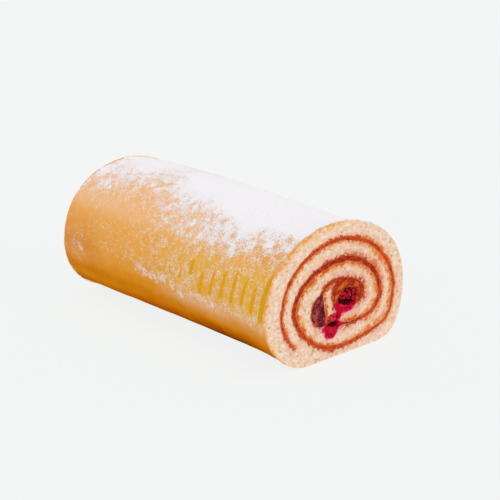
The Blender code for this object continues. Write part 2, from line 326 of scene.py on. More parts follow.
def fill_between(loops, pitch, draw):
    """Fill what lies inside the first loop and outside the others with evenly spread points.

    Returns the points, the loops' own points first, and the triangles between them."""
    border = np.vstack(loops)
    low = border.min(axis=0)
    high = border.max(axis=0)
    across = np.arange(low[0], high[0], pitch)
    upwards = np.arange(low[1], high[1], pitch * math.sqrt(0.75))
    grid_x, grid_z = np.meshgrid(across, upwards)
    grid_x = grid_x + (np.arange(len(upwards)) % 2)[:, None] * pitch / 2
    spots = np.column_stack((grid_x.ravel(), grid_z.ravel()))
    spots += draw.uniform(-FILL_SCATTER, FILL_SCATTER, spots.shape) * pitch
    spots = spots[is_inside(spots, loops)]
    spots = spots[nearest(spots, border)[0] > pitch * FILL_MARGIN]
    points = np.vstack((border, spots))
    edges = []
    begin = 0
    for loop in loops:
        edges += [(begin + place, begin + (place + 1) % len(loop)) for place in range(len(loop))]
        begin += len(loop)
    made = delaunay_2d_cdt([Vector(point) for point in points.tolist()], edges, [], 0, 1e-7)
    if len(made[0]) != len(points):
        raise ValueError("the loops of a cut end cross each other")
    triangles = np.array([face for face in made[2] if len(face) == 3])
    middles = points[triangles].mean(axis=1)
    return points, triangles[is_inside(middles, loops)]


def ragged(loop, spread=0.0):
    """Let a loop's edge wander and bulge, and move it outwards by spread."""
    ahead = np.roll(loop, -1, axis=0) - np.roll(loop, 1, axis=0)
    ahead /= np.linalg.norm(ahead, axis=1)[:, None]
    outwards = np.column_stack((-ahead[:, 1], ahead[:, 0]))
    points = at_distance(loop)
    bulge = sum(np.maximum(waver(points, size, 13) * reach, -inwards)
                for size, reach, inwards in JAM_RAGGEDNESS)
    wander = sum(np.column_stack((waver(points, size, 11), waver(points, size, 12))) * reach
                 for size, reach in JAM_WANDER)
    moved = loop + outwards * (bulge + spread)[:, None] + wander
    for _ in range(2):
        moved = (np.roll(moved, 1, axis=0) + 2 * moved + np.roll(moved, -1, axis=0)) / 4
    return moved


# ---------------------------------------------------------------- meshes

def make_piece(name, vertices, faces, materials, attributes, sharp_angle=50.0, finishes=None):
    """A mesh object from millimetre vertices and triangles, riding on the roll's one body."""
    mesh = bpy.data.meshes.new(name)
    mesh.vertices.add(len(vertices))
    mesh.vertices.foreach_set("co", (vertices * MM).astype(np.float32).ravel())
    mesh.loops.add(faces.size)
    mesh.loops.foreach_set("vertex_index", faces.astype(np.int32).ravel())
    mesh.polygons.add(len(faces))
    mesh.polygons.foreach_set("loop_start", np.arange(0, faces.size, 3, dtype=np.int32))
    for material in materials:
        mesh.materials.append(material)
    if finishes is not None:
        mesh.polygons.foreach_set("material_index", finishes.astype(np.int32))
    mesh.update(calc_edges=True)
    for label, values in attributes.items():
        layer = mesh.attributes.new(label, "FLOAT", "POINT")
        layer.data.foreach_set("value", np.asarray(values, np.float32))
    build = bmesh.new()
    build.from_mesh(mesh)
    bmesh.ops.recalc_face_normals(build, faces=build.faces)
    build.to_mesh(mesh)
    build.free()
    mesh.shade_smooth()
    mesh.set_sharp_from_angle(angle=math.radians(sharp_angle))
    piece = bpy.data.objects.new(name, mesh)
    bpy.context.scene.collection.objects.link(piece)
    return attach(piece, "root")


def join_parts(parts):
    """Join points and what colours them, part after part, and set the points in their place along Y.

    A part that lacks one of the values has 0 there."""
    vertices = np.vstack([points for points, _ in parts])
    vertices[:, 1] += NEAR
    labels = sorted({label for _, looks in parts for label in looks})
    attributes = {label: np.concatenate([looks.get(label, np.zeros(len(points))) for points, looks in parts])
                  for label in labels}
    return vertices, attributes


def wall_faces(rings):
    """Triangles between neighbouring rings of vertex numbers."""
    faces = []
    for near, far in zip(rings, rings[1:]):
        near_next = np.roll(near, -1)
        far_next = np.roll(far, -1)
        faces.append(np.column_stack((near, far, far_next)))
        faces.append(np.column_stack((near, far_next, near_next)))
    return np.vstack(faces)


def wall_levels(depth):
    """Distances from a cut end of the sections of a slot's walls, for points whose edge lies this deep."""
    return [np.maximum(level, depth + level * WALL_SLOPE) for level in SLOT_LEVELS]


def line_slots(loops, near, far, total):
    """Points and triangles of walls that run through the roll, from each loop at one cut end to the other.

    near and far give the numbers and the depths of the loops' points; total counts the points so far."""
    points = []
    faces = []
    begin = 0
    for loop in loops:
        own = slice(begin, begin + len(loop))
        levels = wall_levels(near[1][own]) + [LENGTH - level for level in wall_levels(far[1][own])[::-1]]
        rings = total + np.arange(len(levels) * len(loop)).reshape(len(levels), len(loop))
        points += [at_distance(loop, level) for level in levels]
        faces.append(wall_faces([near[0][own], *rings, far[0][own]]))
        total += rings.size
        begin += len(loop)
    return np.vstack(points), np.vstack(faces)


# ---------------------------------------------------------------- crust

def outline_at(level):
    """The solid's outline at this y as even steps that start under its middle."""
    loop = even_loop(section_loops("sponge", level)[0], OUTLINE_STEP, CRUST_SOFTNESS)
    loop[:, 1] = np.maximum(loop[:, 1], 0.0)
    middle = (loop[:, 0].min() + loop[:, 0].max()) / 2
    start = np.argmin(np.hypot(loop[:, 0] - middle, loop[:, 1] * 3))
    return np.roll(loop, -start, axis=0)


def crust_stations():
    """Distances of the crust's sections, closest where the marks are."""
    edge = np.array(EDGE_STATIONS)
    marked = MARK_START + MARK_PITCH * len(MARKS)
    plain = LENGTH - edge[-1]
    near = np.linspace(edge[-1], marked, round((marked - edge[-1]) / MARKED_PITCH) + 1)
    far = np.linspace(marked, plain, round((plain - marked) / PLAIN_PITCH) + 1)
    return np.concatenate((edge[:-1], near, far[1:], LENGTH - edge[-2::-1]))


def rings_at(rings, at, wanted):
    """Rings given at rising distances, blended for the wanted distances."""
    upto = np.searchsorted(at, wanted).clip(1, len(at) - 1)
    share = ((wanted - at[upto - 1]) / (at[upto] - at[upto - 1])).clip(0.0, 1.0)[:, None, None]
    return rings[upto - 1] * (1 - share) + rings[upto] * share


def crust_grid(stations):
    """The crust's points, by station and round the roll, carried between sections of the solid."""
    # The solid is cut between its marks, which are pressed into the crust afterwards
    between_marks = MARK_START + MARK_PITCH * (np.arange(int(LENGTH / MARK_PITCH)) + 0.5)
    levels = np.concatenate(([SECTION_INSET], between_marks, [LENGTH - SECTION_INSET]))
    outlines = [outline_at(NEAR + level) for level in levels]
    first = outlines[0]
    seen = smooth_step(first[:, 1], 0.2, 4.0)
    dense = 1.0 / (UNDERSIDE_PITCH + (OUTLINE_PITCH - UNDERSIDE_PITCH) * seen)
    travelled = np.concatenate(([0.0], np.cumsum(dense)[:-1]))
    count = round(dense.sum() * OUTLINE_STEP)
    steps = np.arange(count) * dense.sum() / count
    shares = np.interp(steps, travelled, np.arange(len(first))) / len(first)
    rings = []
    for outline in outlines:
        closed = np.vstack((outline, outline[:1]))
        place = shares * len(outline)
        rings.append([np.interp(place, np.arange(len(closed)), closed[:, axis]) for axis in (0, 1)])
    fine = np.arange(0.0, LENGTH + 0.5, 1.0)
    straight = rings_at(np.array(rings), levels, fine)
    before = 2 * straight[:1] - straight[CRUST_EASING:0:-1]
    after = 2 * straight[-1:] - straight[-2:-2 - CRUST_EASING:-1]
    padded = np.concatenate((before, straight, after))
    eased = sum(padded[offset:offset + len(fine)] * weight
                for offset, weight in enumerate(easing_weights(CRUST_EASING)))
    section = rings_at(eased, fine, stations)
    distance = np.broadcast_to(stations[:, None], (len(stations), count))
    return np.stack((section[:, 0], distance, np.maximum(section[:, 1], 0.0)), axis=2)


def grid_normals(grid):
    """The direction in which the crust faces at each point."""
    along = np.gradient(grid, axis=0)
    around = np.roll(grid, -1, axis=1) - np.roll(grid, 1, axis=1)
    normals = np.cross(along, around)
    return normals / np.linalg.norm(normals, axis=2)[:, :, None]


def mark_strength(grid):
    """How deep in a pressed mark each crust point lies, from 0 to 1."""
    x, distance, z = np.moveaxis(grid, 2, 0)
    strength = np.zeros(x.shape)
    for number, (low, high, pressed) in enumerate(MARKS):
        middle = MARK_START + MARK_PITCH * number + ((low + high) / 2 - z) * MARK_LEANING
        height = (z - low) / (high - low)
        # A mark narrows upwards, and the one next to the cut end is wider
        width = MARK_WIDTH / 2 * (1.2 - 0.45 * height) * (1.35 if number == 0 else 1.0)
        across = np.clip(1.0 - ((distance - middle) / width) ** 2, 0.0, 1.0)
        ends = smooth_step(height, -0.08, 0.12) * (1.0 - smooth_step(height, 0.72, 1.08))
        strength = np.maximum(strength, across * ends * (x < 0) * pressed)
    return strength


def sugar_cover(grid, marks):
    """Share of the crust that icing sugar covers at each point, from bare at 0 to unbroken at 1."""
    x, distance, z = np.moveaxis(grid, 2, 0)
    drift = waver(grid, 12.0, 3)
    flurry = waver(grid, 5.0, 5)
    clump = waver(grid, 2.6, 7)
    uneven = drift * 1.6 + flurry * 1.6 + clump
    crown = 0.5 * np.clip(np.minimum(x + 26.0, 40.0 - x), 0.0, 30.0)
    height = z + crown + uneven
    tenth, half, most = (along_line(SUGAR_EDGES, distance, column) for column in (1, 2, 3))
    cover = 0.1 * np.clip((height - tenth) / 4.0 + 1.0, 0.0, 1.0)
    cover += 0.4 * np.clip((height - tenth) / (half - tenth), 0.0, 1.0)
    cover += 0.5 * np.clip((height - half) / (most - half) * 0.8, 0.0, 1.0)
    streak_height = along_line(SUGAR_STREAK, distance, 1)
    dusting = 0.2 + 0.05 * drift - 0.14 * smooth_step(distance + drift * 6, 90.0, 120.0)
    dusting = dusting * smooth_step(z + uneven, streak_height - 7.0, streak_height + 1.0)
    streak = np.exp(-((z + uneven - streak_height) / 3.1) ** 2) * along_line(SUGAR_STREAK, distance, 2)
    patch_along = (distance + flurry * 3 - FAR_PATCH) / 6.0
    patch_up = (z + flurry * 3 - 32) / 5.0
    patch = 0.26 * np.exp(-patch_along ** 2 - patch_up ** 2)
    side = np.maximum(dusting, np.maximum(streak, patch))
    cover = np.maximum(cover, np.where(x < LOW_SUGAR_END, side, dusting * 0.6))
    cover = np.clip(cover + (1.6 * flurry + 1.3 * clump) * cover * (1.0 - cover), 0.0, 1.0)
    ends = distance + 2.0 * smooth_step(x, -24.0, 0.0)
    cover = cover * smooth_step(ends + clump * 1.2, -0.7, 0.9) * smooth_step(z, 8.0, 16.0)
    return np.clip(cover * (1 - smooth_step(marks, 0.06, 0.4)), 0.0, 1.0)


def sugar_film(grid):
    """How thick the finest powder lies as an even film: low near the cut end, and over the far end."""
    x, distance, z = np.moveaxis(grid, 2, 0)
    drift = waver(grid, 12.0, 3)
    low = np.exp(-((z + drift * 2 - 24.5) / 3.6) ** 2)
    low = low * (1.0 - smooth_step(distance + drift * 8, 62.0, 96.0))
    low = low * (0.65 + 0.35 * smooth_step(distance, 30.0, 42.0))
    far = smooth_step(distance + drift * 6, 122.0, 136.0) * smooth_step(z, 20.0, 30.0)
    patch = np.exp(-((distance - FAR_PATCH) / 8.0) ** 2 - ((z - 31) / 7.0) ** 2)
    high = smooth_step(distance + drift * 6, 48.0, 70.0) * smooth_step(z, 50.0, 58.0)
    return np.where(x < LOW_SUGAR_END, 0.15 * low + 0.03 * far + 0.06 * patch, 0.0) + 0.1 * high


def browning_and_shade(grid):
    """How dark the crust is coloured, from golden at 0 to deep brown at 1, towards the foot of the roll:
    partly real browning, partly painted shade on its lower side.
    """
    _, distance, z = np.moveaxis(grid, 2, 0)
    uneven = waver(grid * np.array((1.0, 0.5, 1.0)), 12.0, 21) * 1.6 + waver(grid, 5.0, 23) * 0.6
    foot, low, side = (along_line(CRUST_TONES, distance, column) for column in (1, 2, 3))
    above_foot = smooth_step(z, 14.0, 20.0)
    above_low = smooth_step(z, 27.0, 36.0)
    shift = foot * (1 - above_foot) + low * above_foot * (1 - above_low)
    shift = shift + side * above_low * (1 - smooth_step(z, 48.0, 60.0))
    under_sugar = smooth_step(z, 51.0, 57.0) * (1.0 - smooth_step(distance, 16.0, 34.0))
    return np.clip(1.0 - (z + shift + uneven) / 60.0 + 0.3 * under_sugar, 0.0, 1.0)


def paleness(grid):
    """Where the crust thins out to pale crumb: next to the cut ends, but not along their upper -X side."""
    x, distance, z = np.moveaxis(grid, 2, 0)
    to_end = np.minimum(distance, LENGTH - distance) + waver(grid, 2.0, 27) * 0.6
    crumbly = 0.15 + 0.6 * waver(grid, 1.6, 29)
    pale_side = np.maximum(smooth_step(x, -12.0, 8.0), 1.0 - smooth_step(z, 3.0, 9.0))
    return (1.0 - smooth_step(to_end, 0.7, 1.8)) * np.maximum(pale_side, crumbly)


def yellowness(grid):
    """Where the crust stayed more yellow: round the pressed marks, most of all near the cut end."""
    x, distance, z = np.moveaxis(grid, 2, 0)
    uneven = waver(grid, 9.0, 25)
    near = 1.0 - 0.4 * smooth_step(distance + uneven * 4, 8.0, 40.0)
    near = near - 0.6 * smooth_step(distance + uneven * 6, 64.0, 108.0)
    band = smooth_step(z + uneven * 2, 22.0, 32.0) * (1.0 - smooth_step(z + uneven * 2, 46.0, 60.0))
    return near * band * (x < 0)


def edge_curl(grid):
    """How far the crust curls inwards next to the cut ends, as a quarter round."""
    x, distance, z = np.moveaxis(grid, 2, 0)
    upper = smooth_step(z - x, 62.0, 84.0) * (distance < LENGTH / 2)
    uneven = 1.0 + 0.25 * waver(grid * np.array((1.0, 0.0, 1.0)), 5.0, 37)
    radius = (EDGE_ROUNDING + (UPPER_EDGE_ROUNDING - EDGE_ROUNDING) * upper) * uneven
    inside = np.clip(radius - np.minimum(distance, LENGTH - distance), 0.0, None)
    return (radius - np.sqrt(np.clip(radius ** 2 - inside ** 2, 0.0, None))) * smooth_step(z, 0.3, 3.0)


def lay_crust():
    """The crust's grid with its relief, the direction it faces, and what colours it."""
    grid = crust_grid(crust_stations())
    normals = grid_normals(grid)
    marks = mark_strength(grid)
    sugar = sugar_cover(grid, marks)
    wrinkles = waver(grid * np.array((1.0, 0.45, 1.0)), 4.0, 31)
    dimples = waver(grid, 1.5, 33)
    powder = waver(grid, 2.4, 35)
    ends = smooth_step(np.minimum(grid[:, :, 1], LENGTH - grid[:, :, 1]), 0.0, 3.0)
    relief = wrinkles * WRINKLE_DEPTH * ends + dimples * DIMPLE_DEPTH - marks * MARK_DEPTH
    relief = relief + sugar * SUGAR_THICKNESS * (0.6 + powder)
    relief *= smooth_step(grid[:, :, 2], 0.3, 3.0)
    raised = grid + normals * (relief - edge_curl(grid))[:, :, None]
    raised[:, :, 1] = np.clip(raised[:, :, 1], 0.0, LENGTH)
    raised[0, :, 1] = 0.0
    raised[-1, :, 1] = LENGTH
    raised[:, :, 2] = np.maximum(raised[:, :, 2], 0.0)
    # The crust shows between the clumps wherever the shader's noise stays below this value. The powers turn
    # a share of the crust into how far from its middle a bell-shaped noise has that share below it.
    gaps = np.clip(0.5 - SUGAR_NOISE_SPREAD * 4.91 * (sugar ** 0.14 - (1 - sugar) ** 0.14), 0.0, 1.0)
    # Darker towards the crust's foot: partly real browning, partly painted shade on its lower side
    colouring = {"sugar": sugar, "gaps": gaps, "mark": marks, "browned": browning_and_shade(grid),
                 "yellow": yellowness(grid), "pale": paleness(grid), "film": sugar_film(grid)}
    return raised, normals, colouring


# ---------------------------------------------------------------- cut ends

BERRY_NODES = {"near": ("raspberry_front_upper", "raspberry_front_lower"),
               "far": ("raspberry_back_upper", "raspberry_back_lower")}


def berry_ovals(end):
    """Middle, half sizes (x, z) and depth of each berry's solid at one end."""
    boxes = [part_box(node) for node in BERRY_NODES[end]]
    return [(*oval_in(low, high), (high.y - low.y) / MM) for low, high in boxes]


def spiral_core(end):
    """The point of a cut end that the turns of jam wind round."""
    return berry_ovals(end)[0][0] + np.array(CORE_OFFSET)


def berry_recess(points, end):
    """How far in the berries' beds lie at (x, z) points of a cut end."""
    depth = np.zeros(len(points))
    for middle, half, reach in berry_ovals(end):
        share = (((points - middle) / (half - BED_OVERLAP)) ** 2).sum(axis=1)
        depth = np.maximum(depth, reach * np.sqrt(np.clip(1.0 - share, 0.0, 1.0)))
    return depth


def juice_stain(points, end):
    """How strongly raspberry juice stains the cut end round and below the berries, from 0 to 1."""
    flat = at_distance(points)
    feathered = waver(flat, 2.6, 41) * 0.2 + waver(flat, 0.9, 43) * 0.12
    stain = np.zeros(len(points))
    ovals = berry_ovals(end)
    for place, offset, half in JUICE_STAINS:
        share = np.sqrt((((points - ovals[place][0] - offset) / half) ** 2).sum(axis=1))
        stain = np.maximum(stain, 1.0 - smooth_step(share + feathered, 0.55, 1.3))
    return stain


def bite_pores(points, draw):
    """Depth of the crumb's pores at (x, z) points."""
    tree = search_tree(points)
    depth = np.zeros(len(points))
    for count, smallest, largest, deepest in PORES:
        for _ in range(count):
            centre = points[draw.integers(len(points))]
            radius = draw.uniform(smallest, largest)
            stretch = draw.uniform(0.55, 1.0)
            turn = draw.uniform(0.0, math.pi)
            along = np.array((math.cos(turn), math.sin(turn)))
            bite = deepest * draw.uniform(0.6, 1.0)
            for _, number, _ in tree.find_range((*centre, 0.0), radius * 1.3):
                offset = points[number] - centre
                length = offset @ along
                width = (offset[0] * along[1] - offset[1] * along[0]) / stretch
                share = (length * length + width * width) / (radius * radius)
                if share < 1.0:
                    depth[number] = max(depth[number], bite * (1.0 - share) ** 0.7)
    return depth


def jam_stains(points, slots, end, seed):
    """How strongly jam colours the crumb on the inner and the outer side of its turns, and how far it is."""
    flat = at_distance(points)
    border = np.vstack(slots)
    to_jam, number = nearest(points, border)
    core = spiral_core(end)
    inner = smooth_step(facing_core(points, border[number], core), -0.1, 0.25)
    wound = turn_of_jam(border[number])
    uneven = 1.0 + 0.9 * waver(flat, 3.2, seed + 7) + 0.6 * waver(flat, 1.3, seed + 8)
    uneven = np.maximum(uneven, 0.35)
    leftwards = smooth_step(core[0] - points[:, 0], 2.0, 16.0)
    outer_reach, inner_reach, left_reach = SOAK_REACH
    reach = outer_reach + (inner_reach - outer_reach + (left_reach - inner_reach) * leftwards) * wound
    strength = np.maximum(wound, 0.75 + 0.15 * leftwards)
    soak = (strength * np.exp(-to_jam / (reach * uneven)) + 0.5 * np.exp(-to_jam / 0.35)) * inner
    foot = 1.0 - smooth_step(points[:, 1], 12.0, 28.0)
    stained_side = np.maximum(smooth_step(points[:, 0], -26.0, 18.0), foot)
    reach = BLEED_REACH[0] + (BLEED_REACH[1] - BLEED_REACH[0]) * wound
    reach = reach * (0.4 + 0.8 * stained_side)
    bleed = np.exp(-to_jam / (reach * uneven)) * (1.0 - 0.25 * inner) + 0.3 * np.exp(-to_jam / 0.3)
    return soak, bleed, to_jam


def rim_warmth(points, rim, seed):
    """How golden the crumb is next to the crust, most of all along its upper -X side."""
    flat = at_distance(points)
    upper_left = smooth_step(points[:, 1] - points[:, 0] * 0.75, 22.0, 60.0)
    top = smooth_step(points[:, 1], 40.0, 60.0)
    patchy = smooth_step(waver(flat, 7.0, seed + 9) + 0.4 * waver(flat, 2.0, seed + 10), -0.4, 0.45)
    left = 1.0 - smooth_step(points[:, 0], -8.0, 12.0)
    width = 0.5 + (1.0 + 2.4 * patchy) * upper_left + 1.2 * top * left * patchy
    return np.exp(-((rim / width) ** 1.5)) * (0.15 + 0.85 * np.maximum(upper_left, top * 0.7) * left)


def spread_crumb(points, outline, slots, end, draw):
    """Relief and colouring of the crumb at (x, z) points of a cut end."""
    flat = at_distance(points)
    seed = 50 if end == "near" else 60
    rim = nearest(points, outline)[0]
    soak, bleed, to_jam = jam_stains(points, slots, end, seed)
    patches = smooth_step(waver(flat, 3.4, seed + 11), -0.6, 0.3)
    spotted = np.clip(1.15 - to_jam / 5.0, 0.0, 1.0) * smooth_step(points[:, 0], 12.0, 24.0) * patches
    spotted = spotted * smooth_step(rim, 4.0, 9.0)
    pores = bite_pores(points, draw) * smooth_step(to_jam, 0.2, 1.4)
    hills = hilly(flat, CRUMB_HILLS, seed) * smooth_step(to_jam, 0.0, 0.8)
    inwards = hills + pores + CRUMB_SETBACK + berry_recess(points, end)
    # The points on the rim are the crust's own, so they stay where they are
    inwards = np.where(rim < 1e-6, 0.0, inwards * smooth_step(rim, 0.0, 0.9) + 0.02)
    # The pores' depth also sets the painted shade in them
    colouring = {"soak": soak, "bleed": bleed, "spotted": spotted, "rim_glow": rim_warmth(points, rim, seed),
                 "pore": np.clip(pores, 0.0, 1.0), "stain": juice_stain(points, end)}
    return inwards, colouring


def turn_of_jam(points):
    """0 on the outer turn of the jam, 1 on those inside it."""
    middle, half = oval_in(solid_low, solid_high)
    radius = np.sqrt((((points - middle) / half) ** 2).sum(axis=1))
    return 1.0 - smooth_step(radius, 0.62, 0.7)


def facing_core(points, edge, core):
    """From -1 to 1: whether the nearest edge of the jam lies outside or inside of each point of a turn."""
    outwards = points - edge
    inwards = core - edge
    lengths = np.linalg.norm(outwards, axis=1) * np.linalg.norm(inwards, axis=1) + 1e-6
    return (outwards * inwards).sum(axis=1) / lengths


def bake_sponge(slots):
    """The sponge: crust round it, crumb on both cut ends and down the walls of the slots."""
    crust, normals, crust_looks = lay_crust()
    stations, around = crust.shape[:2]
    total = stations * around
    crust_numbers = np.arange(total).reshape(stations, around)
    painted = {label: values.ravel() for label, values in crust_looks.items()}
    parts = [(crust.reshape(-1, 3), painted)]
    faces = [wall_faces(list(crust_numbers))]
    slot_ends = []
    for end, pitch, ring, seed in (("near", NEAR_CRUMB_PITCH, 0, 71), ("far", FAR_CRUMB_PITCH, -1, 72)):
        draw = np.random.default_rng(seed)
        outline = crust[ring][:, [0, 2]]
        points, triangles = fill_between([outline, *slots], pitch, draw)
        inwards, looks = spread_crumb(points, outline, slots, end, draw)
        numbers = np.concatenate((crust_numbers[ring], total + np.arange(len(points) - around)))
        faces.append(numbers[triangles])
        for label, values in looks.items():
            on_crust = painted.setdefault(label, np.zeros(crust_numbers.size))
            on_crust[crust_numbers[ring]] = values[:around]
        inner_looks = {label: values[around:] for label, values in looks.items()}
        parts.append((at_distance(points, from_end(inwards, end))[around:], inner_looks))
        slot_ends.append((numbers[around:], inwards[around:]))
        total += len(points) - around
    walls, wall_triangles = line_slots(slots, *slot_ends, total)
    parts.append((walls, {"soak": np.full(len(walls), WALL_SOAK)}))
    faces.append(wall_triangles)
    vertices, attributes = join_parts(parts)
    finishes = np.ones(sum(len(batch) for batch in faces))
    finishes[:len(faces[0])] = 0.0
    piece = make_piece("sponge_roll", vertices, np.vstack(faces), (baked_crust(), open_crumb()), attributes,
                       finishes=finishes)
    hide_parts("sponge")
    return crust, normals, crust_looks["sugar"]


# ---------------------------------------------------------------- jam

def spread_jam(loops):
    """The jam: one piece that runs through the roll in its spiral slot, with lumpy glossy ends."""
    border = np.vstack(loops)
    parts = []
    faces = []
    jam_ends = []
    total = 0
    for end, seed in (("near", 81), ("far", 82)):
        points, triangles = fill_between(loops, JAM_PITCH, np.random.default_rng(seed))
        edge, number = nearest(points, border)
        lumps = hilly(at_distance(points), JAM_LUMPS, seed) - 0.2
        inwards = JAM_SETBACK + lumps * smooth_step(edge, 0.0, 0.8) + berry_recess(points, end)
        looks = jam_colouring(points, edge, border[number], end)
        parts.append((at_distance(points, from_end(inwards, end)), looks))
        faces.append(triangles + total)
        jam_ends.append((total + np.arange(len(border)), inwards[:len(border)]))
        total += len(points)
    walls, wall_triangles = line_slots(loops, *jam_ends, total)
    parts.append((walls, {}))
    faces.append(wall_triangles)
    vertices, attributes = join_parts(parts)
    piece = make_piece("jam_spiral", vertices, np.vstack(faces), (cooked_jam(),), attributes)
    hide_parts("jam")


def jam_colouring(points, edge, border, end):
    """What colours the jam: its turn of the spiral, both its sides, the dark dollop and the filled middle."""
    upper, lower = berry_ovals(end)
    flat = at_distance(points)
    inside = smooth_step(-facing_core(points, border, spiral_core(end)), 0.0, 0.4)
    inner = inside * np.clip(1.0 - edge / 1.1, 0.0, 1.0) + 0.3 * waver(flat, 2.2, 87)
    outer = (1.0 - inside) * np.clip(1.0 - edge / 0.9, 0.0, 1.0)
    offset, half = np.array(DOLLOP)
    dollop = 1.0 - smooth_step(np.hypot(*((points - (lower[0] + offset)) / half).T), 0.8, 1.1)
    from_berry = (points - upper[0]) / (upper[1] + POCKET_MARGIN)
    radius = np.hypot(*from_berry.T)
    pocket = 1.0 - smooth_step(radius, 0.9, 1.15)
    turned = np.arctan2(from_berry[:, 1], from_berry[:, 0]) * 2.2
    streak = waver(np.column_stack((radius * 9.0, turned, np.zeros(len(points)))), 1.0, 88)
    return {"turn": turn_of_jam(points), "inner": np.clip(inner, 0.0, 1.0), "outer": outer,
            "dollop": dollop, "pocket": pocket * (1 - dollop), "streak": streak * 0.5 + 0.5,
            "stain": juice_stain(points, end)}


# ---------------------------------------------------------------- raspberries

def seat_drupelets(middle, half, draw):
    """Middles and radii of the drupelets, packed over the cut berry."""
    seats = []
    reach = half - DRUPELET_RADIUS * 0.75
    for _ in range(DRUPELET_TRIES):
        spot = middle + draw.uniform(-1.0, 1.0, 2) * reach
        radius = DRUPELET_RADIUS * draw.uniform(0.78, 1.12)
        share = (((spot - middle) / reach) ** 2).sum()
        clear = all(np.linalg.norm(spot - other) > (radius + size) * DRUPELET_SPACING
                    for other, size in seats)
        if share < 1.0 and clear:
            seats.append((spot, radius))
    return seats


def berry_cut(points, middle, half, place, draw):
    """How far in the cut of a berry lies at (x, z) points, and what colours it."""
    flat = at_distance(points)
    offset, hollow_half, fall = HOLLOWS[place]
    from_hollow = points - middle - np.array(offset)
    from_hollow[:, 1] += from_hollow[:, 0] * fall
    into_hollow = np.sqrt(((from_hollow / np.array(hollow_half)) ** 2).sum(axis=1))
    # The hollow is sunk in, and painted near black as shade
    hollow = 1.0 - smooth_step(into_hollow + waver(flat, 1.3, 97) * 0.3, 0.7, 1.15)
    lump = np.zeros(len(points))
    for spot, radius in seat_drupelets(middle, half, draw):
        away = np.linalg.norm(points - spot, axis=1)
        lump = np.maximum(lump, np.sqrt(np.clip(radius ** 2 - away ** 2, 0.0, None)) / DRUPELET_RADIUS)
    lip = smooth_step(-from_hollow[:, 1], 0.2, 2.2)
    lump = lump * (1 - 0.6 * lip)
    # Painted shade in the creases between the drupelets
    crease = 1.0 - smooth_step(lump, 0.3, 0.88)
    inwards = BERRY_SETBACK + DRUPELET_BULGE * (1 - lump) * (1 - 0.5 * lip)
    inwards += hollow * HOLLOW_DEPTH + berry_share(points, middle, half) ** 4 * 0.6
    inwards += waver(flat, 0.8, 98) * 0.08
    unripe = smooth_step(from_hollow[:, 1], -0.5, 2.0) * (0.75 if place == 1 else 0.1)
    crease = crease * (1 - 0.8 * lip) * (1 - 0.45 * place)
    return inwards, {"hollow": hollow, "crease": crease, "lip": lip * (1 - 0.3 * place), "unripe": unripe}


def berry_share(points, middle, half):
    """How far out from a berry's middle points lie, as a share of the way to its rim."""
    return np.sqrt((((points - middle) / half) ** 2).sum(axis=1)).clip(0.0, 1.0)


def make_raspberry(node, end, place, material):
    """A berry cut open at the end of the roll: glossy drupelets, a hollow painted near black as shade, a
    juicy lip below it.
    """
    middle, half, depth = berry_ovals(end)[place]
    draw = np.random.default_rng(90 + 10 * place + (end == "far"))
    turns = np.linspace(0.0, -2 * math.pi, round(math.pi * half.sum() / BERRY_PITCH), endpoint=False)
    rim = middle + np.column_stack((np.cos(turns), np.sin(turns))) * half
    rim = middle + (rim - middle) * (0.97 + 0.05 * waver(at_distance(rim), 2.0, 95 + place))[:, None]
    points, triangles = fill_between([rim], BERRY_PITCH, draw)
    front, looks = berry_cut(points, middle, half, place, draw)
    share = berry_share(points, middle, half)
    back = np.maximum(depth * np.sqrt(np.clip(1.0 - share ** 2, 0.0, 1.0)), front + LEAST_THICKNESS)
    inner = np.arange(len(rim), len(points))
    numbers = np.concatenate((np.arange(len(rim)), len(points) + np.arange(len(inner))))
    faces = np.vstack((triangles, numbers[triangles][:, ::-1]))
    vertices, attributes = join_parts([(at_distance(points, from_end(front, end)), looks),
                                       (at_distance(points[inner], from_end(back[inner], end)), {})])
    piece = make_piece(node.replace("raspberry", "cut_raspberry"), vertices, faces, (material,), attributes,
                       sharp_angle=75.0)
    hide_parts(node)


# ---------------------------------------------------------------- icing sugar

